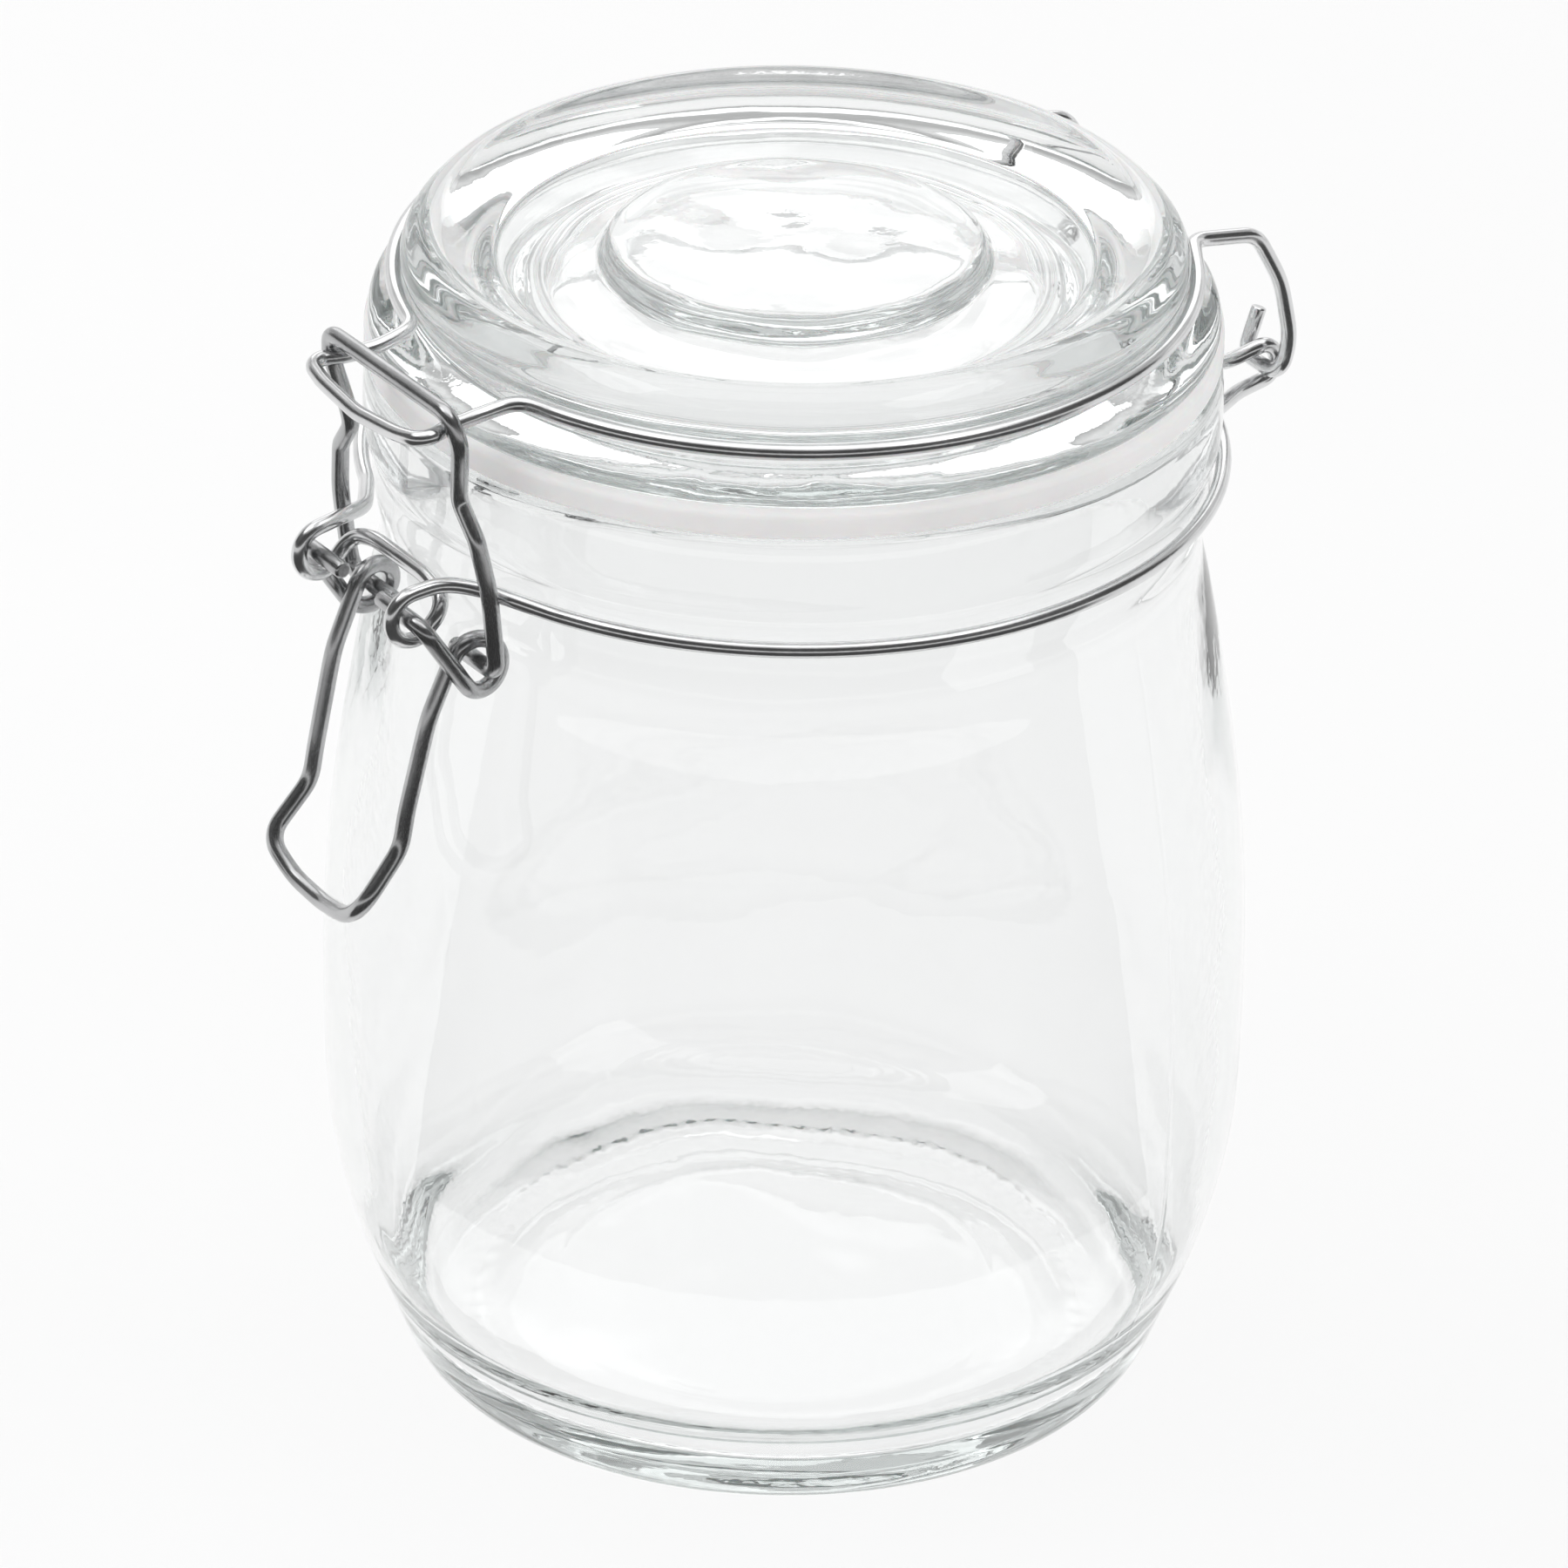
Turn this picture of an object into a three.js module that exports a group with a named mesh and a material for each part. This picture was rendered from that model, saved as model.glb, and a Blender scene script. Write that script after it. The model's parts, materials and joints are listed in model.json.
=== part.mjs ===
// Clip-top preserving jar: a lathed glass jar with a hinged glass lid, a flat silicone gasket,
// and four pieces of bent spring wire that hinge the lid at the rear and latch it at the front.
//
// Millimetres, +Z up. The origin is the centre of the base. The latch faces -Y and the hinge
// is on the +Y side. A wire is described for its +X half and mirrored across the plane x = 0.

import * as THREE from 'three';
import * as BufferGeometryUtils from 'three/addons/utils/BufferGeometryUtils.js';

// ---- driving dimensions -------------------------------------------------------------------

const LATHE_SEGMENTS = 48;
const WIRE_SIDES = 8;
const BEND_STEP = THREE.MathUtils.degToRad(26);
const RING_STEP = THREE.MathUtils.degToRad(9);

const HEAVY_WIRE = 1.05; // radius of the bail and lever wire
const LIGHT_WIRE = 0.95; // radius of the lid and neck wire

const RIM_Z = 133.3; // top of the jar's mouth
const MOUTH_R = 43.0; // inside of the mouth
const GASKET_Z = RIM_Z + 0.35;
const GASKET_THICKNESS = 3.4;
const GASKET_INNER_R = 42.3;
const GASKET_OUTER_R = 51.1;
const LID_SEAT_Z = GASKET_Z + GASKET_THICKNESS + 0.35; // underside of the lid's flange
const LID_TOP_Z = 149.6;

const NECK_RING = { r: 51.6, z: 119.8 }; // centreline of the wire round the neck
const LID_RING = { r: 47.7, z: 143.4 }; // centreline of the wire in the lid's groove

const LEVER_PIVOT = { out: 60.8, z: 118.6 }; // axis through the two front eyes
const BAIL_PIVOT = { out: 52.2, z: 111.2 }; // axis through the lever's two coils
const LID_PIVOT = { out: 58.0, z: 121.5 }; // axis through the two rear eyes

const FRONT_EYE = { t: 10.0, r: 3.05, out: 60.15, z: 118.65 }; // hairpin that holds the lever
const REAR_EYE = { t: 15.5, r: 2.4 }; // hairpin that holds the lid wire
const COIL = { r: 3.0, z: 110.9, tIn: 12.9, tOut: 10.5 }; // one turn of the lever round the bail

// ---- materials ----------------------------------------------------------------------------

const finish = (color, roughness, metalness, opacity = 1) =>
  new THREE.MeshStandardMaterial({ color, roughness, metalness, opacity, transparent: opacity < 1 });

const jarGlass = finish(0xe9eded, 0.03, 0.0, 0.35);
const lidGlass = finish(0xe6eaea, 0.03, 0.0, 0.35);
const silicone = finish(0xd9dbda, 0.45, 0.0, 0.85);
const neckSteel = finish(0xb4b6b9, 0.22, 1.0);
const lidSteel = finish(0xbcbec0, 0.2, 1.0);
const bailSteel = finish(0x9fa1a4, 0.2, 1.0);
const leverSteel = finish(0xa6a8ab, 0.2, 1.0);

// ---- turned pieces ------------------------------------------------------------------------

// A closed body turned about Z from [radius, height] pairs that run counter-clockwise
// in the half plane: out along the underside, up the outside and back along the top.
function turned(profile) {
  const geometry = new THREE.LatheGeometry(
    profile.map(([r, z]) => new THREE.Vector2(r, z)),
    LATHE_SEGMENTS,
  );
  geometry.rotateX(Math.PI / 2);
  return welded(geometry);
}

function welded(geometry) {
  geometry.deleteAttribute('normal');
  geometry.deleteAttribute('uv');
  const merged = BufferGeometryUtils.mergeVertices(geometry, 1e-4);
  merged.computeVertexNormals();
  return merged;
}

function jarGeometry() {
  const outside = [
    [0, 0], [43.7, 0], [45.0, 0.1], [46.0, 0.7], [47.3, 2.8], [49.85, 9.3], [53.05, 18], [55.7, 30],
    [56.4, 45], [56.2, 60], [54.95, 75], [52.7, 90], [50.6, 102], [49.2, 108.5], [49.1, 112],
    [49.8, 115.5], [50.2, 118], [50.2, 121.6], [51.0, 123.6], [51.2, 127.5], [51.0, 131], [49.8, RIM_Z],
  ];
  const inside = [
    [MOUTH_R + 1.2, RIM_Z], [MOUTH_R, 131.6], [MOUTH_R, 121.5], [44.3, 115], [46.0, 108.5], [47.4, 102],
    [49.5, 90], [51.7, 75], [53.0, 60], [53.2, 45], [52.5, 30], [50.2, 18], [48.4, 13.2], [45.4, 9.2],
    [41, 6.5], [35, 5.1], [0, 4.6],
  ];
  return turned([...outside, ...inside]);
}

function lidGeometry() {
  const underside = [
    [0, 141.2], [28, 141.2], [31.2, 139.6], [33.2, 133.2], [35, 131.2], [38.6, 130.9], [40.8, 131.7],
    [41.4, 133.6], [41.8, LID_SEAT_Z],
  ];
  const edge = [
    [50.2, LID_SEAT_Z], [50.6, 138.3], [50.2, 139.9], [48.9, 141], [46.7, 142.2], [46.25, 143.4],
    [46.5, 144.3], [46.75, 145.4], [46.5, 146.7], [45.4, 148.1],
  ];
  const top = [
    [44.2, 149.2], [42.9, LID_TOP_Z], [41.3, 149.1], [38.4, 147.4], [36.1, 146], [35.2, 145.2],
    [34.3, 145], [23.8, 144.9], [22.8, 145.8], [22.2, 146.9], [21.2, 147.6], [0, 147.8],
  ];
  return turned([...underside, ...edge, ...top]);
}

function gasketGeometry() {
  const top = GASKET_Z + GASKET_THICKNESS;
  return turned([
    [GASKET_INNER_R, GASKET_Z + 0.5], [GASKET_INNER_R + 0.5, GASKET_Z], [GASKET_OUTER_R - 0.8, GASKET_Z],
    [GASKET_OUTER_R, GASKET_Z + 0.9], [GASKET_OUTER_R, top - 0.9], [GASKET_OUTER_R - 0.8, top],
    [GASKET_INNER_R + 0.5, top], [GASKET_INNER_R, top - 0.5], [GASKET_INNER_R, GASKET_Z + 0.5],
  ]);
}

// ---- bent wire ----------------------------------------------------------------------------

// A point of a wire is { p, bend }: its place, and the radius that the wire is bent to there.
const front = (t, out, z, bend = 0) => ({ p: new THREE.Vector3(t, -out, z), bend });
const rear = (t, out, z, bend = 0) => ({ p: new THREE.Vector3(t, out, z), bend });
const mirrored = ({ p, bend }) => ({ p: new THREE.Vector3(-p.x, p.y, p.z), bend });

// Points along a horizontal ring. Angles are measured from the latch, towards +X.
function ring({ r, z }, from, to) {
  const steps = Math.max(2, Math.round(Math.abs(to - from) / RING_STEP));
  return Array.from({ length: steps + 1 }, (_, i) => {
    const angle = from + ((to - from) * i) / steps;
    return front(r * Math.sin(angle), r * Math.cos(angle), z);
  });
}

// Points round a circle that stands upright and faces sideways, drifting from tIn to tOut.
function turn(side, { out, z, r }, from, to, tIn, tOut = tIn) {
  const steps = Math.max(2, Math.round(Math.abs(to - from) / BEND_STEP));
  return Array.from({ length: steps + 1 }, (_, i) => {
    const share = i / steps;
    const angle = from + (to - from) * share;
    return side(tIn + (tOut - tIn) * share, out + r * Math.cos(angle), z + r * Math.sin(angle));
  });
}

// Replaces each bent corner by an arc of its bend radius, and gives the stations of the wire.
function stationsOf(points) {
  const stations = [];
  points.forEach(({ p, bend }, i) => {
    const before = points[i - 1];
    const after = points[i + 1];
    if (!bend || !before || !after) {
      stations.push(p.clone());
      return;
    }
    const into = p.clone().sub(before.p).normalize();
    const away = after.p.clone().sub(p).normalize();
    const angle = into.angleTo(away);
    const normal = away.clone().sub(into).normalize();
    const centre = p.clone().addScaledVector(normal, bend / Math.cos(angle / 2));
    const reach = bend * Math.tan(angle / 2);
    const start = p.clone().addScaledVector(into, -reach).sub(centre);
    const axis = into.clone().cross(away).normalize();
    const steps = Math.max(1, Math.ceil(angle / BEND_STEP));
    for (let k = 0; k <= steps; k += 1) {
      stations.push(start.clone().applyAxisAngle(axis, (angle * k) / steps).add(centre));
    }
  });
  return stations;
}

// A path whose stations are the given points, however unevenly they lie.
class WirePath extends THREE.Curve {
  constructor(stations) {
    super();
    this.stations = stations;
  }

  getPoint(share, target = new THREE.Vector3()) {
    const last = this.stations.length - 1;
    const i = Math.min(last - 1, Math.floor(share * last));
    return target.lerpVectors(this.stations[i], this.stations[i + 1], share * last - i);
  }

  getPointAt(share, target) {
    return this.getPoint(share, target);
  }

  getTangentAt(share, target = new THREE.Vector3()) {
    const last = this.stations.length - 1;
    const i = Math.round(share * last);
    const before = this.stations[Math.max(0, i - 1)];
    const here = this.stations[i];
    const after = this.stations[Math.min(last, i + 1)];
    const into = here.clone().sub(before).normalize();
    const away = after.clone().sub(here).normalize();
    return target.copy(into).add(away).normalize();
  }
}

function wireGeometry(points, radius) {
  const stations = stationsOf(points);
  const section = new THREE.Shape(
    Array.from({ length: WIRE_SIDES }, (_, i) => {
      const angle = (2 * Math.PI * i) / WIRE_SIDES;
      return new THREE.Vector2(radius * Math.cos(angle), radius * Math.sin(angle));
    }),
  );
  const geometry = new THREE.ExtrudeGeometry(section, {
    steps: stations.length - 1,
    extrudePath: new WirePath(stations),
    bevelEnabled: false,
  });
  return welded(geometry);
}

// The whole wire from its +X half, which starts on the plane x = 0.
function bothHalves(half) {
  return [...half.slice(1).reverse().map(mirrored), ...half];
}

// The angle at which a straight stretch from a point meets a circle, on the wanted side of it.
function tangentAngle(point, circle, side) {
  const out = point.out - circle.out;
  const z = point.z - circle.z;
  return Math.atan2(z, out) + side * Math.acos(circle.r / Math.hypot(out, z));
}

// Ring round the neck, with a hairpin eye on each side of the latch and of the hinge.
// Its two ends meet at the rear, with a small gap.
function neckWire() {
  const eye = FRONT_EYE;
  const frontHalf = [
    front(0, 55.6, 120.8),
    front(5.2, 55.5, 120.7, 6),
    front(eye.t + 0.4, 55.6, 119.4, 3),
    ...turn(front, eye, THREE.MathUtils.degToRad(-112), THREE.MathUtils.degToRad(85), eye.t),
    front(eye.t + 0.3, 56.5, 122.1, 8),
    front(12.2, 52.6, 121.2, 7),
  ];
  const leave = Math.asin(20 / NECK_RING.r);
  const arrive = Math.PI - Math.asin(20.5 / NECK_RING.r);
  const hinge = { out: LID_PIVOT.out, z: LID_PIVOT.z, r: REAR_EYE.r };
  const rearHalf = [
    rear(16.2, 54.2, 119.0, 6),
    ...turn(rear, hinge, THREE.MathUtils.degToRad(-90), THREE.MathUtils.degToRad(95), REAR_EYE.t),
    rear(13.6, 53.6, 121.6, 5),
    rear(7, 51.3, 120.8, 8),
    rear(0.15, 51.7, 120.6),
  ];
  const half = [...frontHalf, ...ring(NECK_RING, leave, arrive), ...rearHalf];
  return wireGeometry(bothHalves(half), LIGHT_WIRE);
}

// Ring in the lid's groove, drawn out into a tongue at the front and into two arms at the rear.
// Each arm ends in a pin through a rear eye and a stub that keeps it there.
function lidWire() {
  const tongue = [
    front(0, 61.4, 141.2),
    front(8, 61.0, 141.8, 14),
    front(12.5, 60.2, 142.5, 1.9),
    front(10.9, 56.0, 142.5, 6),
    front(10.6, 51.5, 142.7, 10),
    front(11.2, 46.4, 143.4, 3.4),
  ];
  const leave = Math.asin(16.5 / LID_RING.r);
  const arrive = Math.PI - Math.asin(24 / LID_RING.r);
  const arm = [
    rear(19.4, 44.0, 143.4, 3.4),
    rear(19.4, 53.6, 141.6, 4),
    rear(19.4, 57.6, 134.4, 14),
    rear(19.4, 59.6, 126, 8),
    rear(19.4, LID_PIVOT.out, LID_PIVOT.z, 2.2),
    rear(12.2, LID_PIVOT.out, LID_PIVOT.z, 1.8),
    rear(12.2, 60.1, 127.2),
  ];
  const half = [...tongue, ...ring(LID_RING, leave, arrive), ...arm];
  return wireGeometry(bothHalves(half), LIGHT_WIRE);
}

// Spring loop that hooks over the lid wire's tongue. Its ends turn inwards through the lever's coils.
function bail() {
  const half = [
    front(0, 57, 145.15),
    front(12.6, 57, 145.15, 2.2),
    front(13.9, 56.2, 141.6, 4),
    front(12.2, 55.2, 136, 9),
    front(11.5, 54.8, 133, 2.5),
    front(14.6, 54.4, 129, 3),
    front(16.1, 53.6, 122.4, 14),
    front(15.9, 52.8, 115.6, 9),
    front(15.6, BAIL_PIVOT.out, BAIL_PIVOT.z, 2.2),
    front(6.5, BAIL_PIVOT.out, BAIL_PIVOT.z),
  ];
  return wireGeometry(bothHalves(half), HEAVY_WIRE);
}

// Handle loop. Each arm runs up into one coil round the bail's end, then a crank and a pivot pin.
function lever() {
  const coil = { out: BAIL_PIVOT.out, z: COIL.z, r: COIL.r };
  const armTop = { out: 58.3, z: 104.8 };
  const from = tangentAngle(armTop, coil, 1);
  const to = tangentAngle(LEVER_PIVOT, coil, -1) + 2 * Math.PI;
  const half = [
    front(0, 66.6, 77.9),
    front(5.6, 67.0, 78.8, 7),
    front(10.3, 67.7, 82.2, 3.4),
    front(9.9, 61.9, 88.4, 5),
    front(9.9, 61.1, 93, 14),
    front(10.3, armTop.out, armTop.z, 14),
    ...turn(front, coil, from, to, COIL.tOut, COIL.tIn),
    front(COIL.tIn, LEVER_PIVOT.out, LEVER_PIVOT.z, 2.0),
    front(4, LEVER_PIVOT.out, LEVER_PIVOT.z),
  ];
  return wireGeometry(bothHalves(half), HEAVY_WIRE);
}

// ---- assembly -----------------------------------------------------------------------------

function piece(name, geometry, material) {
  const mesh = new THREE.Mesh(geometry, material);
  mesh.name = name;
  return mesh;
}

const canister = new THREE.Group();
canister.add(
  piece('jar_glass', jarGeometry(), jarGlass),
  piece('lid_glass', lidGeometry(), lidGlass),
  piece('gasket', gasketGeometry(), silicone),
  piece('neck_wire', neckWire(), neckSteel),
  piece('lid_wire', lidWire(), lidSteel),
  piece('bail', bail(), bailSteel),
  piece('lever', lever(), leverSteel),
);

export default canister;
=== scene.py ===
"""Clip-top glass jar: fine glass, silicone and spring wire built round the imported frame.

Shapes are written in millimetres and made in metres. The latch faces -Y, the hinge is on the
+Y side, and each wire is described for its +X half and mirrored across x = 0.
"""
import json
import math

import bpy
import numpy as np
from mathutils import Matrix, Vector


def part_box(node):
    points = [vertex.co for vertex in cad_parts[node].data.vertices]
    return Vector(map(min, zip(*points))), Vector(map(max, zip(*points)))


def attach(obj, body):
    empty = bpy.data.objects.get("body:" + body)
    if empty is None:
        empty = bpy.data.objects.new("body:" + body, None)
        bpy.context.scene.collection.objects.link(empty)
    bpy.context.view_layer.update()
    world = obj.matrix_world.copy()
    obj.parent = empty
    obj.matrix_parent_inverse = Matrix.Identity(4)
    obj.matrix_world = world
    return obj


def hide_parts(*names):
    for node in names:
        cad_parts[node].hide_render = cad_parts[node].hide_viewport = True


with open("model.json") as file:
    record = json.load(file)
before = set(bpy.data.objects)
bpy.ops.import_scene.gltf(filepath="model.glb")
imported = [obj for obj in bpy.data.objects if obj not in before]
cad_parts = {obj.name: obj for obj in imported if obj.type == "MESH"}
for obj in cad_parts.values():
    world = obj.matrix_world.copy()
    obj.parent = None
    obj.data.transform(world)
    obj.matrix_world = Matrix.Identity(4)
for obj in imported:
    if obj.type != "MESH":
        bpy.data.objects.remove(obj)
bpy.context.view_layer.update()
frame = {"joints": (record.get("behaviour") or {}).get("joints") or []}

MM = 0.001
TAU = 2 * math.pi


# ---- sizes read from the frame ---------------------------------------------------------------

def top_of(node):
    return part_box(node)[1].z / MM


def bottom_of(node):
    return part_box(node)[0].z / MM


def outer_radius(node):
    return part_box(node)[1].x / MM


def pivot(joint_name):
    """(distance from the jar's axis, height) of a hinge, in millimetres."""
    joint = next(j for j in frame["joints"] if j["name"] == joint_name)
    return abs(joint["pos_m"][1]) / MM, joint["pos_m"][2] / MM


RIM_Z = top_of("jar_glass")
BODY_R = outer_radius("jar_glass")
LID_TOP_Z = top_of("lid_glass")
LID_SEAT_Z = top_of("gasket") + 0.35
LEVER_PIVOT = pivot("lever_hinge")
BAIL_PIVOT = pivot("bail_hinge")
LID_PIVOT = pivot("lid_hinge")

HEAVY_WIRE = 1.05
LIGHT_WIRE = 0.95


# ---- camera ----------------------------------------------------------------------------------

CAMERA_AZIMUTH = math.radians(55)     # round from the latch, towards +X
CAMERA_DISTANCE = 1.1095              # horizontally from the jar's axis
CAMERA_HEIGHT = 0.6906
CAMERA_PITCH = math.radians(29.079)
CAMERA_ROLL = math.radians(0.96)
CAMERA_YAW = math.radians(-0.016)
LENS_MM = 240
SENSOR_MM = 36


def add_camera():
    pan = CAMERA_AZIMUTH - CAMERA_YAW
    forward = Vector((-math.sin(pan) * math.cos(CAMERA_PITCH),
                      math.cos(pan) * math.cos(CAMERA_PITCH), -math.sin(CAMERA_PITCH)))
    right = Vector((math.cos(pan), math.sin(pan), 0))
    up = right.cross(forward)
    turned_right = math.cos(CAMERA_ROLL) * right + math.sin(CAMERA_ROLL) * up
    turned_up = math.cos(CAMERA_ROLL) * up - math.sin(CAMERA_ROLL) * right
    data = bpy.data.cameras.new("camera")
    data.lens = LENS_MM
    data.sensor_width = SENSOR_MM
    data.clip_end = 50
    camera = bpy.data.objects.new("camera", data)
    place = Vector((math.sin(CAMERA_AZIMUTH) * CAMERA_DISTANCE,
                    -math.cos(CAMERA_AZIMUTH) * CAMERA_DISTANCE, CAMERA_HEIGHT))
    axes = Matrix((turned_right, turned_up, -forward)).transposed()
    camera.matrix_world = Matrix.Translation(place) @ axes.to_4x4()
    bpy.context.scene.collection.objects.link(camera)
    bpy.context.scene.camera = camera


# ---- node helpers ----------------------------------------------------------------------------

class Nodes:
    """A material's node tree, with short ways to add and link nodes."""

    def __init__(self, name):
        self.material = bpy.data.materials.new(name)
        self.material.use_nodes = True
        self.tree = self.material.node_tree
        self.tree.nodes.clear()
        self.out = self.add("OutputMaterial")
        self.shader = self.add("BsdfPrincipled")
        self.link(self.shader, "BSDF", self.out, "Surface")

    def add(self, kind, **settings):
        node = self.tree.nodes.new("ShaderNode" + kind)
        for key, value in settings.items():
            setattr(node, key, value)
        return node

    def link(self, source, output, target, socket):
        self.tree.links.new(source.outputs[output], target.inputs[socket])

    def set(self, **values):
        for key, value in values.items():
            self.shader.inputs[key.replace("_", " ")].default_value = value

    def place(self, kind="Object", scale=(1, 1, 1)):
        coordinates = self.add("TexCoord")
        mapping = self.add("Mapping")
        mapping.inputs["Scale"].default_value = scale
        self.link(coordinates, kind, mapping, "Vector")
        return mapping

    def noise(self, place, scale, detail=4.0, roughness=0.5, distortion=0.0):
        noise = self.add("TexNoise")
        noise.inputs["Scale"].default_value = scale
        noise.inputs["Detail"].default_value = detail
        noise.inputs["Roughness"].default_value = roughness
        noise.inputs["Distortion"].default_value = distortion
        self.link(place, "Vector", noise, "Vector")
        return noise

    def span(self, source, output, low, high, from_low=0.0, from_high=1.0):
        node = self.add("MapRange")
        node.inputs["From Min"].default_value = from_low
        node.inputs["From Max"].default_value = from_high
        node.inputs["To Min"].default_value = low
        node.inputs["To Max"].default_value = high
        self.link(source, output, node, "Value")
        return node

    def ramp(self, source, output, stops):
        node = self.add("ValToRGB")
        elements = node.color_ramp.elements
        while len(elements) < len(stops):
            elements.new(0.5)
        for element, (position, colour) in zip(elements, stops):
            element.position = position
            element.color = (*colour, 1)
        self.link(source, output, node, "Fac")
        return node

    def bump(self, height, output, strength, distance, normal=None):
        node = self.add("Bump")
        node.inputs["Strength"].default_value = strength
        node.inputs["Distance"].default_value = distance
        self.link(height, output, node, "Height")
        if normal:
            self.link(normal, "Normal", node, "Normal")
        return node


# ---- materials -------------------------------------------------------------------------------

GLASS_DENSITY = 42


def glass_material(name, wave_scale, wave_height):
    """Pressed soda glass: a clear skin with a faint wave and a few soft smears, grey in its depth."""
    n = Nodes(name)
    n.set(Base_Color=(0.992, 0.994, 0.994, 1), IOR=1.5, Transmission_Weight=1.0)
    place = n.place()
    smear = n.noise(n.place(scale=(1, 1, 0.4)), 38, detail=6, roughness=0.6)
    rough = n.span(smear, "Fac", 0.0, 0.035, 0.5, 0.8)
    n.link(rough, "Result", n.shader, "Roughness")
    wave = n.noise(place, wave_scale, detail=2, roughness=0.4, distortion=0.6)
    fine = n.noise(place, wave_scale * 7, detail=3)
    skin = n.bump(wave, "Fac", 0.6, wave_height)
    pitted = n.bump(fine, "Fac", 0.25, wave_height * 0.12, skin)
    n.link(pitted, "Normal", n.shader, "Normal")
    depth = n.add("VolumeAbsorption")
    depth.inputs["Color"].default_value = (0.85, 0.863, 0.86, 1)
    depth.inputs["Density"].default_value = GLASS_DENSITY
    n.link(depth, "Volume", n.out, "Volume")
    return n.material


def silicone_material():
    """Milky translucent silicone with a bloom of fine dust and faint moulding rings."""
    n = Nodes("silicone_milky")
    n.set(IOR=1.41, Transmission_Weight=0.25, Subsurface_Weight=0.25, Subsurface_Scale=0.004,
          Specular_IOR_Level=0.4)
    place = n.place()
    cloud = n.noise(place, 60, detail=5)
    colour = n.ramp(cloud, "Fac", [(0.3, (0.74, 0.75, 0.75)), (0.7, (0.82, 0.825, 0.825))])
    n.link(colour, "Color", n.shader, "Base Color")
    rough = n.span(n.noise(place, 240, detail=3), "Fac", 0.32, 0.52)
    n.link(rough, "Result", n.shader, "Roughness")
    rings = n.noise(n.place(scale=(0.2, 0.2, 14)), 90, detail=2)
    grain = n.noise(place, 1500, detail=2)
    base = n.bump(rings, "Fac", 0.25, 0.0002)
    n.link(n.bump(grain, "Fac", 0.15, 0.00006, base), "Normal", n.shader, "Normal")
    return n.material


def wire_material(name, dark, light, low_rough, high_rough):
    """Drawn steel wire: fine marks along its length, dull patches and a few nicks."""
    n = Nodes(name)
    n.set(Metallic=1.0)
    patch = n.noise(n.place("UV"), 0.22, detail=3, roughness=0.5)
    colour = n.ramp(patch, "Fac", [(0.35, dark), (0.65, light)])
    n.link(colour, "Color", n.shader, "Base Color")
    drawn = n.noise(n.place("UV", (0.35, 40, 1)), 5, detail=4, roughness=0.6)
    rough = n.span(drawn, "Fac", low_rough, high_rough, 0.3, 0.7)
    n.link(rough, "Result", n.shader, "Roughness")
    nicks = n.noise(n.place("UV", (0.8, 2.2, 1)), 1.3, detail=6, roughness=0.7)
    pits = n.span(nicks, "Fac", 0.0, 1.0, 0.68, 0.74)
    lines = n.bump(drawn, "Fac", 0.22, 0.00002)
    n.link(n.bump(pits, "Result", 0.3, 0.00003, lines), "Normal", n.shader, "Normal")
    return n.material


# ---- turned glass and silicone ---------------------------------------------------------------

def smooth_line(points, spacing):
    """Points along a centripetal Catmull-Rom curve through the given [radius, height] points."""
    p = np.array(points, float)
    p = np.vstack([2 * p[0] - p[1], p, 2 * p[-1] - p[-2]])
    knots = np.concatenate([[0], np.cumsum(np.sqrt(np.linalg.norm(np.diff(p, axis=0), axis=1)))])
    line = [p[1]]
    for i in range(1, len(p) - 2):
        steps = max(1, int(round(np.linalg.norm(p[i + 1] - p[i]) / spacing)))
        t0, t1, t2, t3 = knots[i - 1:i + 3]
        for t in np.linspace(t1, t2, steps + 1)[1:]:
            a1 = (t1 - t) / (t1 - t0) * p[i - 1] + (t - t0) / (t1 - t0) * p[i]
            a2 = (t2 - t) / (t2 - t1) * p[i] + (t - t1) / (t2 - t1) * p[i + 1]
            a3 = (t3 - t) / (t3 - t2) * p[i + 1] + (t - t2) / (t3 - t2) * p[i + 2]
            b1 = (t2 - t) / (t2 - t0) * a1 + (t - t0) / (t2 - t0) * a2
            b2 = (t3 - t) / (t3 - t1) * a2 + (t - t1) / (t3 - t1) * a3
            line.append((t2 - t) / (t2 - t1) * b1 + (t - t1) / (t2 - t1) * b2)
    return np.array(line)


def joined(*lines):
    """One profile from several lines, without repeating the point where two meet."""
    kept = [lines[0]]
    for line in lines[1:]:
        repeats = np.linalg.norm(kept[-1][-1] - line[0]) < 0.01
        kept.append(line[1:] if repeats else line)
    return np.vstack(kept)


def angles_round(count, fine_at=(), fine_width=0.02):
    """Angles round a turn, with extra ones close to each angle in fine_at."""
    base = [TAU * i / count for i in range(count)]
    for centre in fine_at:
        base += [(centre + fine_width * k / 6) % TAU for k in range(-6, 7)]
    kept = []
    for angle in sorted(base):
        if not kept or angle - kept[-1] > 0.001:
            kept.append(angle)
    return np.array(kept)


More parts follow.
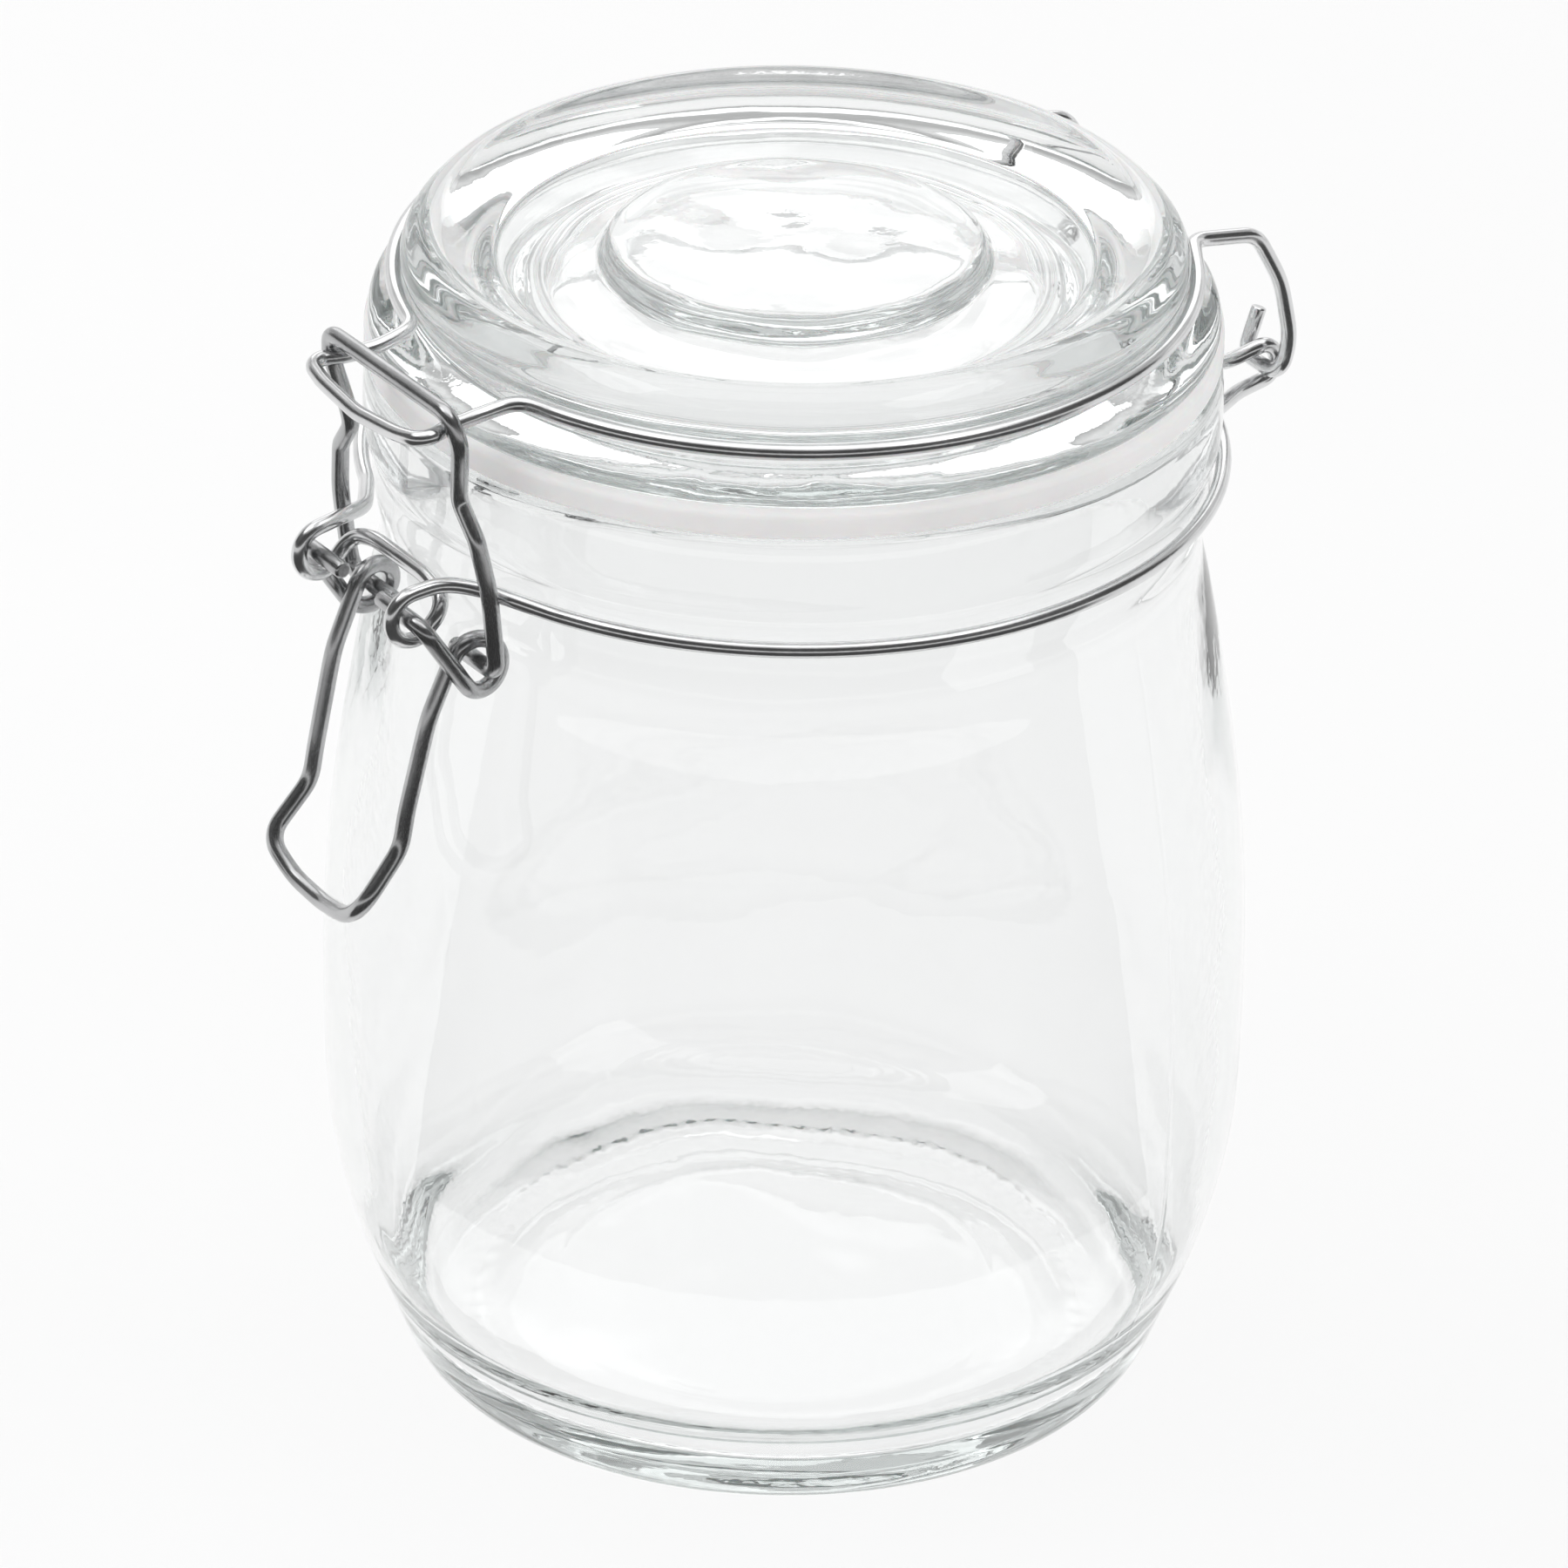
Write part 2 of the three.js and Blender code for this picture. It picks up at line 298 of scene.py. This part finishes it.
def turned(name, profile, angles, shift=None, closed=False):
    """A solid turned round Z. shift(radius, height, angle, share) gives (dr, dz) for each point.

    The profile runs out along the underside, up the outside and back along the top. It starts
    and ends on the axis, or closes on itself.
    """
    n_angle, n_line = len(angles), len(profile)
    share = np.linspace(0, 1, n_line)[:, None]
    r, z = profile[:, :1], profile[:, 1:]
    a = angles[None, :]
    if shift:
        dr, dz = shift(r, z, a, share)
    else:
        dr, dz = 0 * (r + a), 0 * (r + a)
    rr, zz = (r + dr) * MM, (z + dz) * MM
    x, y = rr * np.cos(a), rr * np.sin(a)
    grid = np.stack([x, y, zz + 0 * a], axis=2)
    faces = []
    if closed:
        vertices = grid.reshape(-1, 3)
        rows = [(i, (i + 1) % n_line) for i in range(n_line)]
        index = lambda i, k: i * n_angle + k % n_angle
    else:
        middle = grid[1:-1].reshape(-1, 3)
        vertices = np.vstack([middle, grid[0, :1], grid[-1, :1]])
        rows = [(i, i + 1) for i in range(n_line - 3)]
        index = lambda i, k: i * n_angle + k % n_angle
        low, high = len(middle), len(middle) + 1
        for k in range(n_angle):
            faces.append((index(0, k + 1), index(0, k), low))
            faces.append((index(n_line - 3, k), index(n_line - 3, k + 1), high))
    for i, j in rows:
        for k in range(n_angle):
            faces.append((index(i, k), index(i, k + 1), index(j, k + 1), index(j, k)))
    mesh = bpy.data.meshes.new(name)
    mesh.from_pydata([tuple(v) for v in vertices], [], faces)
    mesh.validate()
    mesh.polygons.foreach_set("use_smooth", [True] * len(mesh.polygons))
    mesh.update()
    piece = bpy.data.objects.new(name, mesh)
    bpy.context.scene.collection.objects.link(piece)
    return piece


def step(value, low, high):
    """0 below low, 1 above high, and a smooth rise between."""
    t = np.clip((value - low) / (high - low), 0, 1)
    return t * t * (3 - 2 * t)


def ridge(angle, centre, width):
    """A smooth bump of height 1 round an angle."""
    away = (angle - centre + math.pi) % TAU - math.pi
    return np.exp(-(away / width) ** 2)


SEAM_ANGLES = (math.radians(21), math.radians(201))
SEAM_WIDTH = 0.006        # radians
SEAM_HEIGHT = 0.02
BODY_INSET = 0.06         # room for the seams inside the widest radius
STIPPLES = 78
STIPPLE_HEIGHT = 0.07
STIPPLE_R = 37.8
MOULD_RING_R = 27.4


def jar_shift(r, z, a, share):
    """Waves of the blown inner wall, the mould's seams, and the stippled ring under the base."""
    inside = step(share, 0.46, 0.5)
    wall = step(z, 8, 30) * (1 - step(z, 112, 126))
    waves = 0.16 * np.sin(3 * a + 0.045 * z + 1.1) + 0.10 * np.sin(5 * a - 0.08 * z)
    waves = waves + 0.05 * np.sin(11 * a + 0.13 * z + 2) + 0.07 * np.sin(2 * a + 0.11 * z + 0.4)
    seams = sum(ridge(a, centre, SEAM_WIDTH) for centre in SEAM_ANGLES)
    seamed = (1 - inside) * step(z, 4, 12) * (1 - step(z, 129, 132))
    dr = waves * inside * wall + SEAM_HEIGHT * seams * seamed
    under = (1 - step(share, 0.3, 0.34)) * (1 - step(z, 1.0, 1.6))
    ring = np.exp(-((r - STIPPLE_R) / 1.3) ** 4)
    dashes = np.clip(np.cos(STIPPLES * a), 0, 1) ** 2
    mould_ring = 0.05 * np.exp(-((r - MOULD_RING_R) / 0.6) ** 2)
    dz = under * (STIPPLE_HEIGHT * ring * (1 - dashes) + mould_ring)
    floor_wave = 0.12 * np.sin(2 * a + 0.12 * r) + 0.07 * np.sin(3 * a - 0.2 * r + 1)
    floor = inside * (1 - step(z, 6, 9)) * step(r, 2, 12)
    return dr, dz + floor_wave * floor


def make_jar():
    base = smooth_line([[0, 0.9], [14, 0.86], [22, 0.76], [27, 0.62], [31, 0.42], [34, 0.2],
                        [36, 0.05], [37, 0.0]], 0.5)
    bearing = smooth_line([[37, 0.0], [43.4, 0.0]], 0.3)
    heel = smooth_line([[43.4, 0.0], [44.3, 0.02], [45.1, 0.14], [46.0, 0.7], [46.7, 1.6],
                        [47.3, 2.8], [48.4, 5.6], [49.85, 9.3], [53.05, 18], [55.7, 30],
                        [BODY_R - BODY_INSET, 45], [56.15, 60], [54.95, 75], [52.7, 90], [50.6, 102],
                        [49.25, 108.5], [49.1, 112], [49.8, 115.5], [50.15, 118], [50.15, 121.4],
                        [50.5, 122.6], [51.05, 123.8], [51.2, 127.5], [51.1, 130.6]], 1.2)
    rim = smooth_line([[51.1, 130.6], [50.7, 132.2], [49.6, RIM_Z - 0.1], [48.6, RIM_Z],
                       [45.0, RIM_Z], [43.9, RIM_Z - 0.2], [43.15, RIM_Z - 0.9], [43.0, 131.2]], 0.4)
    inside = smooth_line([[43.0, 131.2], [43.0, 121.5], [44.2, 115], [46.0, 108.5], [47.4, 102],
                          [49.5, 90], [51.7, 75], [53.0, 60], [53.2, 45], [52.5, 30], [50.2, 18],
                          [48.4, 13.2], [45.4, 9.2], [41, 6.5], [35, 5.1], [28, 4.7], [15, 4.6],
                          [0, 4.6]], 1.0)
    profile = joined(base, bearing, heel, rim, inside)
    angles = angles_round(STIPPLES * 4, SEAM_ANGLES)
    return turned("jar_body", profile, angles, jar_shift)


def lid_shift(r, z, a, share):
    """The slow waves of pressed glass, on the top and under the lid."""
    x, y = r * np.cos(a), r * np.sin(a)
    top = step(share, 0.6, 0.66) * (1 - step(r, 40, 44))
    under = (1 - step(share, 0.2, 0.24)) * (1 - step(r, 27, 31))
    wave = 0.05 * np.sin(0.33 * x + 0.21 * y + 0.6) + 0.045 * np.sin(0.17 * x - 0.38 * y + 2.1)
    wave = wave + 0.03 * np.sin(0.52 * x + 0.1 * y) * np.sin(0.41 * y + 1)
    sag = 0.07 * np.sin(0.24 * x - 0.2 * y + 1.4) + 0.05 * np.sin(0.13 * x + 0.45 * y)
    spin = 0.06 * np.sin(4 * a + 0.7) + 0.05 * np.sin(7 * a + 2.2)
    rim = step(r, 33, 36) * step(share, 0.3, 0.34)
    return 0.5 * spin * rim, top * wave + under * sag + 0.5 * spin * rim


def make_lid():
    seat = LID_SEAT_Z
    under = smooth_line([[0, 141.3], [14, 141.3], [25, 141.25], [28.5, 141.0], [30.6, 140.0],
                         [31.8, 137.8], [32.8, 134.2], [33.9, 132.0], [35.4, 131.1], [38.6, 130.95],
                         [40.4, 131.4], [41.2, 132.7], [41.6, 135.2], [41.8, seat]], 0.7)
    flange = smooth_line([[41.8, seat], [50.0, seat]], 1.4)
    edge = smooth_line([[50.0, seat], [50.5, seat + 0.35], [50.6, seat + 1.1], [50.3, 139.6],
                        [49.4, 140.6], [47.9, 141.5], [46.8, 142.2], [46.3, 143.0], [46.25, 143.7],
                        [46.5, 144.4], [46.72, 145.2], [46.72, 146.0], [46.3, 147.1], [45.4, 148.1],
                        [44.2, 149.1], [43.0, LID_TOP_Z - 0.03]], 0.4)
    crown = smooth_line([[43.0, LID_TOP_Z - 0.03], [42.2, 149.5], [41.2, 149.05], [39.8, 148.25],
                         [38.0, 147.15], [36.6, 146.3], [35.9, 145.8], [35.5, 145.3], [35.0, 145.06],
                         [34.2, 145.0], [31, 144.93], [24.6, 144.9], [23.5, 144.97], [22.95, 145.35],
                         [22.7, 146.0], [22.5, 146.8], [22.1, 147.3], [21.3, 147.58], [19, 147.68],
                         [10, 147.75], [0, 147.75]], 0.4)
    profile = joined(under, flange, edge, crown)
    return turned("lid_disc", profile, angles_round(256), lid_shift)


def make_gasket():
    low, high = bottom_of("gasket"), top_of("gasket")
    outer = outer_radius("gasket")
    inner = 42.3
    middle = (low + high) / 2
    outline = []
    corners = [(inner, low), (outer, low), (outer, high), (inner, high)]
    radius = 0.8
    for k, (r, z) in enumerate(corners):
        centre = (r + (radius if r == inner else -radius), z + (radius if z == low else -radius))
        start = math.pi + k * math.pi / 2
        for i in range(7):
            angle = start + i * math.pi / 12
            outline.append((centre[0] + radius * math.cos(angle),
                            centre[1] + radius * math.sin(angle)))
    filled = []
    for i, point in enumerate(outline):
        after = outline[(i + 1) % len(outline)]
        steps = max(1, int(math.dist(point, after) / 0.8))
        away = np.array(after) - point
        filled += [tuple(point + away * k / steps) for k in range(steps)]
    profile = np.array(filled)

    def shift(r, z, a, share):
        bulge = 0.05 * np.sin(6 * a + 0.4) + 0.04 * np.sin(13 * a)
        groove = -0.12 * np.exp(-(((z - middle) / 0.35) ** 2)) * step(r, outer - 0.4, outer - 0.1)
        return (bulge * 0.6 - 0.06) * step(r, 45, 50) + groove, 0 * (r + a)

    return turned("gasket_ring", profile, angles_round(220), shift, closed=True)


# ---- bent wire -------------------------------------------------------------------------------

def front(t, out, z, bend=0):
    return np.array([t, -out, z], float), bend


def rear(t, out, z, bend=0):
    return np.array([t, out, z], float), bend


def ring(radius, z, start, end, spacing=math.radians(3)):
    """Points along a horizontal ring. Angles are measured from the latch, towards +X."""
    steps = max(2, round(abs(end - start) / spacing))
    turns = np.linspace(start, end, steps + 1)
    return [front(radius * math.sin(a), radius * math.cos(a), z) for a in turns]


def turn(side, centre, radius, start, end, t_in, t_out=None, spacing=math.radians(8)):
    """Points round a circle that stands upright and faces sideways, drifting from t_in to t_out."""
    t_out = t_in if t_out is None else t_out
    steps = max(2, round(abs(end - start) / spacing))
    shares = np.linspace(0, 1, steps + 1)
    points = []
    for s in shares:
        angle = start + (end - start) * s
        points.append(side(t_in + (t_out - t_in) * s, centre[0] + radius * math.cos(angle),
                           centre[1] + radius * math.sin(angle)))
    return points


def both_halves(half):
    """The whole wire from its +X half, which starts on the plane x = 0."""
    mirror = np.array([-1, 1, 1])
    return [(p * mirror, bend) for p, bend in reversed(half[1:])] + half


def stations_of(points, spacing=math.radians(7)):
    """The wire's centreline, with each bent corner made an arc of its bend radius."""
    stations = []
    for i, (p, bend) in enumerate(points):
        if not bend or i in (0, len(points) - 1):
            stations.append(p)
            continue
        into = p - points[i - 1][0]
        away = points[i + 1][0] - p
        into, away = into / np.linalg.norm(into), away / np.linalg.norm(away)
        angle = math.acos(max(-1, min(1, float(into @ away))))
        normal = (away - into) / np.linalg.norm(away - into)
        centre = p + normal * bend / math.cos(angle / 2)
        start = p - into * bend * math.tan(angle / 2) - centre
        axis = np.cross(into, away)
        axis = axis / np.linalg.norm(axis)
        side = np.cross(axis, start)
        for k in np.linspace(0, angle, max(1, math.ceil(angle / spacing)) + 1):
            stations.append(centre + start * math.cos(k) + side * math.sin(k))
    return np.array(stations)


def even_line(stations, spacing=0.9):
    """The same line with points close enough together, eased a little where stretches meet."""
    away = np.linalg.norm(np.diff(stations, axis=0), axis=1)
    line = [stations[0]]
    for a, b, length in zip(stations[:-1], stations[1:], away):
        steps = max(1, math.ceil(length / spacing))
        line += [a + (b - a) * k / steps for k in range(1, steps + 1)]
    line = np.array(line)
    for _ in range(2):
        eased = (line[:-2] + 2 * line[1:-1] + line[2:]) / 4
        line = np.vstack([line[:1], eased, line[-1:]])
    return line


WIRE_SIDES = 20


def wire(name, points, radius):
    """A round wire along bent points, with softly sheared ends and a UV map in wire diameters."""
    line = even_line(stations_of(points))
    tangents = np.gradient(line, axis=0)
    tangents /= np.linalg.norm(tangents, axis=1)[:, None]
    lengths = np.concatenate([[0], np.cumsum(np.linalg.norm(np.diff(line, axis=0), axis=1))])
    across = np.cross(tangents[0], [0, 0, 1])
    if np.linalg.norm(across) < 0.1:
        across = np.cross(tangents[0], [1, 0, 0])
    frames = []
    for tangent in tangents:
        across = across - tangent * (across @ tangent)
        across = across / np.linalg.norm(across)
        frames.append((across, np.cross(tangent, across)))
    chamfer = 0.28 * radius
    sheared = [(radius - chamfer, 0.0), (radius - 0.3 * chamfer, 0.3 * chamfer), (radius, chamfer)]
    rings = [(0, r, inset) for r, inset in sheared]
    rings += [(i, radius, 0.0) for i in range(2, len(line) - 2)]
    rings += [(len(line) - 1, r, -inset) for r, inset in reversed(sheared)]
    vertices, along = [], []
    for i, r, inset in rings:
        centre = line[i] + tangents[i] * inset
        u, v = frames[i]
        for k in range(WIRE_SIDES):
            angle = TAU * k / WIRE_SIDES
            vertices.append((centre + r * (math.cos(angle) * u + math.sin(angle) * v)) * MM)
        along.append((lengths[i] + inset) / (2 * radius))
    faces, uvs = [], []
    for i in range(len(rings) - 1):
        for k in range(WIRE_SIDES):
            a, b = i * WIRE_SIDES + k, i * WIRE_SIDES + (k + 1) % WIRE_SIDES
            faces.append((a, b, b + WIRE_SIDES, a + WIRE_SIDES))
            k0, k1 = k / WIRE_SIDES, (k + 1) / WIRE_SIDES
            uvs.append([(along[i], k0), (along[i], k1), (along[i + 1], k1), (along[i + 1], k0)])
    last = (len(rings) - 1) * WIRE_SIDES
    first_cap = tuple(reversed(range(WIRE_SIDES)))
    last_cap = tuple(range(last, last + WIRE_SIDES))
    for cap, place in ((first_cap, along[0]), (last_cap, along[-1])):
        faces.append(cap)
        uvs.append([(place, k / WIRE_SIDES) for k in range(WIRE_SIDES)])
    mesh = bpy.data.meshes.new(name)
    mesh.from_pydata([tuple(v) for v in vertices], [], faces)
    layer = mesh.uv_layers.new(name="wire")
    layer.data.foreach_set("uv", [c for face in uvs for pair in face for c in pair])
    smooth = [True] * (len(faces) - 2) + [False, False]
    mesh.polygons.foreach_set("use_smooth", smooth)
    mesh.update()
    piece = bpy.data.objects.new(name, mesh)
    bpy.context.scene.collection.objects.link(piece)
    return piece


def tangent_angle(point, centre, radius, side):
    """The angle at which a straight stretch from a point meets a circle, on the wanted side."""
    out, z = point[0] - centre[0], point[1] - centre[1]
    return math.atan2(z, out) + side * math.acos(radius / math.hypot(out, z))


def make_neck_wire():
    eye_t, eye_r, eye = 10.0, 3.05, (60.15, 118.65)
    ring_r, ring_z = 51.45, 119.8
    half = [
        front(0, 55.6, 120.8),
        front(5.2, 55.5, 120.7, 6),
        front(eye_t + 0.4, 55.6, 119.4, 3),
        *turn(front, eye, eye_r, math.radians(-112), math.radians(85), eye_t),
        front(eye_t + 0.3, 56.5, 122.1, 8),
        front(12.2, 52.6, 121.2, 7),
        *ring(ring_r, ring_z, math.asin(20 / 51.6), math.pi - math.asin(20.5 / 51.6)),
        rear(16.2, 54.2, 119.0, 6),
        *turn(rear, LID_PIVOT, 2.4, math.radians(-90), math.radians(95), 15.5),
        rear(13.6, 53.6, 121.6, 5),
        rear(7, 51.3, 120.8, 8),
        rear(0.15, 51.7, 120.6),
    ]
    return wire("neck_ring_wire", both_halves(half), LIGHT_WIRE)


def make_lid_wire():
    ring_r, ring_z = 47.6, 143.4
    out, z = LID_PIVOT
    half = [
        front(0, 61.4, 141.2),
        front(8, 61.0, 141.8, 14),
        front(12.5, 60.2, 142.5, 1.9),
        front(10.9, 56.0, 142.5, 6),
        front(10.6, 51.5, 142.7, 10),
        front(11.2, 46.4, 143.4, 3.4),
        *ring(ring_r, ring_z, math.asin(16.5 / 47.7), math.pi - math.asin(24 / 47.7)),
        rear(19.4, 44.0, 143.4, 3.4),
        rear(19.4, 53.6, 141.6, 4),
        rear(19.4, 57.6, 134.4, 14),
        rear(19.4, 59.5, 126, 8),
        rear(19.4, out, z, 2.2),
        rear(12.2, out, z, 1.8),
        rear(12.2, 60.1, 127.2),
    ]
    return wire("lid_ring_wire", both_halves(half), LIGHT_WIRE)


def make_bail():
    out, z = BAIL_PIVOT
    half = [
        front(0, 57, 145.15),
        front(12.6, 57, 145.15, 2.2),
        front(13.9, 56.2, 141.6, 4),
        front(12.2, 55.2, 136, 9),
        front(11.5, 54.8, 133, 2.5),
        front(14.6, 54.4, 129, 3),
        front(16.1, 53.6, 122.4, 14),
        front(15.9, 52.8, 115.6, 9),
        front(15.6, out, z, 2.2),
        front(6.5, out, z),
    ]
    return wire("bail_loop", both_halves(half), HEAVY_WIRE)


def make_lever():
    coil, coil_r = (BAIL_PIVOT[0], BAIL_PIVOT[1] - 0.3), 3.0
    arm_top = (58.3, 104.8)
    start = tangent_angle(arm_top, coil, coil_r, 1)
    end = tangent_angle(LEVER_PIVOT, coil, coil_r, -1) + TAU
    half = [
        front(0, 66.6, 77.9),
        front(5.6, 67.0, 78.8, 7),
        front(10.3, 67.62, 82.2, 3.4),
        front(9.9, 61.9, 88.4, 5),
        front(9.9, 61.1, 93, 14),
        front(10.3, *arm_top, 14),
        *turn(front, coil, coil_r, start, end, 10.5, 12.9),
        front(12.9, *LEVER_PIVOT, 2.0),
        front(4, *LEVER_PIVOT),
    ]
    return wire("lever_loop", both_halves(half), HEAVY_WIRE)


# ---- studio ----------------------------------------------------------------------------------

# (sine of the elevation, radiance) of the room: a pale horizon, grey bands and a paler ceiling
ROOM_LEVELS = ((0.0, 1.0), (0.2, 0.95), (0.3, 0.55), (0.38, 0.5), (0.41, 0.95), (0.45, 0.95),
               (0.48, 0.45), (0.62, 0.5), (0.66, 0.8), (0.72, 0.45), (0.88, 0.6), (1.0, 0.9))


CARD_TONE = 0.06
FLOOR_HALF_SIZE = 9       # metres
FLOOR_DROP = 0.0002       # keeps the floor just clear of the jar's base


def add_floor():
    mesh = bpy.data.meshes.new("floor")
    size = FLOOR_HALF_SIZE
    mesh.from_pydata([(-size, -size, 0), (size, -size, 0), (size, size, 0), (-size, size, 0)],
                     [], [(0, 1, 2, 3)])
    floor = bpy.data.objects.new("floor", mesh)
    floor.location.z = -FLOOR_DROP
    bpy.context.scene.collection.objects.link(floor)
    n = Nodes("floor_paper")
    n.set(Roughness=0.9, Specular_IOR_Level=0.1)
    tone = n.ramp(n.noise(n.place(), 3), "Fac",
                  [(0.3, (0.86, 0.86, 0.86)), (0.7, (0.87, 0.87, 0.87))])
    n.link(tone, "Color", n.shader, "Base Color")
    mesh.materials.append(n.material)


def add_softbox(name, azimuth, elevation, distance, width, height, power):
    """An area light that faces the jar. Azimuth is round from the latch, towards +X."""
    a, e = math.radians(azimuth), math.radians(elevation)
    away = Vector((math.sin(a) * math.cos(e), -math.cos(a) * math.cos(e), math.sin(e)))
    data = bpy.data.lights.new(name, "AREA")
    data.shape = "RECTANGLE"
    data.size, data.size_y = width, height
    data.energy = power
    light = bpy.data.objects.new(name, data)
    light.location = away * distance + Vector((0, 0, 0.08))
    light.rotation_euler = away.to_track_quat("Z", "Y").to_euler()
    bpy.context.scene.collection.objects.link(light)


def add_world():
    """The room round the table: pale near the horizon, dim half way up and pale overhead."""
    world = bpy.data.worlds.new("studio")
    bpy.context.scene.world = world
    world.use_nodes = True
    tree = world.node_tree
    tree.nodes.clear()
    out = tree.nodes.new("ShaderNodeOutputWorld")
    background = tree.nodes.new("ShaderNodeBackground")
    ramp = tree.nodes.new("ShaderNodeValToRGB")
    split = tree.nodes.new("ShaderNodeSeparateXYZ")
    place = tree.nodes.new("ShaderNodeTexCoord")
    tree.links.new(place.outputs["Generated"], split.inputs[0])
    tree.links.new(split.outputs["Z"], ramp.inputs["Fac"])
    tree.links.new(ramp.outputs["Color"], background.inputs["Color"])
    tree.links.new(background.outputs[0], out.inputs["Surface"])
    elements = ramp.color_ramp.elements
    while len(elements) < len(ROOM_LEVELS):
        elements.new(0.5)
    for element, (height, level) in zip(elements, ROOM_LEVELS):
        element.position = height
        element.color = (level, level, level, 1)


def add_card(name, near, far, half_angle, low, high):
    """A dark studio card on the camera's side, which only shows in reflections.

    It is a piece of a cone round the jar, from near and low to far and high (in metres).
    """
    steps = 12
    azimuth = math.degrees(CAMERA_AZIMUTH)
    vertices = []
    for i in range(steps + 1):
        a = math.radians(azimuth - half_angle + 2 * half_angle * i / steps)
        vertices.append((math.sin(a) * near, -math.cos(a) * near, low))
        vertices.append((math.sin(a) * far, -math.cos(a) * far, high))
    faces = [(2 * i, 2 * i + 1, 2 * i + 3, 2 * i + 2) for i in range(steps)]
    mesh = bpy.data.meshes.new(name)
    mesh.from_pydata(vertices, [], faces)
    card = bpy.data.objects.new(name, mesh)
    bpy.context.scene.collection.objects.link(card)
    n = Nodes(name + "_paper")
    n.set(Roughness=0.8, Specular_IOR_Level=0.1)
    grain = n.noise(n.place(), 40)
    darker, paler = (0.8 * CARD_TONE,) * 3, (1.2 * CARD_TONE,) * 3
    n.link(n.ramp(grain, "Fac", [(0.3, darker), (0.7, paler)]), "Color", n.shader, "Base Color")
    mesh.materials.append(n.material)
    card.visible_camera = False
    card.visible_diffuse = False
    card.visible_shadow = False
    card.visible_transmission = False


def light_studio():
    camera_side = math.degrees(CAMERA_AZIMUTH)
    add_softbox("overhead", camera_side + 180, 82, 2.0, 2.4, 2.2, 15.5)
    add_softbox("back_panel", camera_side + 180, 30, 2.2, 1.8, 0.8, 5)
    add_softbox("left_strip", camera_side - 80, 42, 1.6, 0.7, 1.4, 5)
    add_softbox("right_strip", camera_side + 60, 40, 1.6, 0.7, 1.4, 4)
    add_card("table_card", near=0.1, far=0.9, half_angle=80, low=0.001, high=0.002)
    add_card("canopy_card", near=1.5, far=1.0, half_angle=115, low=0.25, high=1.3)
    add_world()


# ---- assembly --------------------------------------------------------------------------------

def dress(piece, material, node, body, casts_shadow=True):
    piece.data.materials.clear()
    piece.data.materials.append(material)
    piece.visible_shadow = casts_shadow
    piece.visible_diffuse = casts_shadow
    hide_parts(node)
    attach(piece, body)


def build():
    light_studio()
    add_camera()
    add_floor()
    jar_glass = glass_material("glass_jar", 26, 0.0006)
    lid_glass = glass_material("glass_lid", 60, 0.0003)
    bright_wire = wire_material("wire_bright", (0.64, 0.643, 0.648), (0.76, 0.762, 0.766),
                                0.12, 0.25)
    spring_wire = wire_material("wire_spring", (0.41, 0.412, 0.416), (0.53, 0.533, 0.538),
                                0.15, 0.30)
    dress(make_jar(), jar_glass, "jar_glass", "jar", casts_shadow=False)
    dress(make_lid(), lid_glass, "lid_glass", "lid", casts_shadow=False)
    dress(make_gasket(), silicone_material(), "gasket", "lid", casts_shadow=False)
    dress(make_neck_wire(), bright_wire, "neck_wire", "jar")
    dress(make_lid_wire(), bright_wire, "lid_wire", "lid")
    dress(make_bail(), spring_wire, "bail", "bail")
    dress(make_lever(), spring_wire, "lever", "lever")


LIGHT_BOUNCES = 32        # a ray may reflect many times inside thick glass


def set_quality():
    scene = bpy.context.scene
    scene.view_settings.view_transform = "Standard"
    cycles = scene.cycles
    cycles.use_denoising = True
    cycles.max_bounces = LIGHT_BOUNCES
    cycles.transmission_bounces = LIGHT_BOUNCES
    cycles.glossy_bounces = LIGHT_BOUNCES
    cycles.transparent_max_bounces = 16
    cycles.caustics_refractive = False
    cycles.caustics_reflective = False
    cycles.sample_clamp_indirect = 8


build()
set_quality()
bpy.context.view_layer.update()
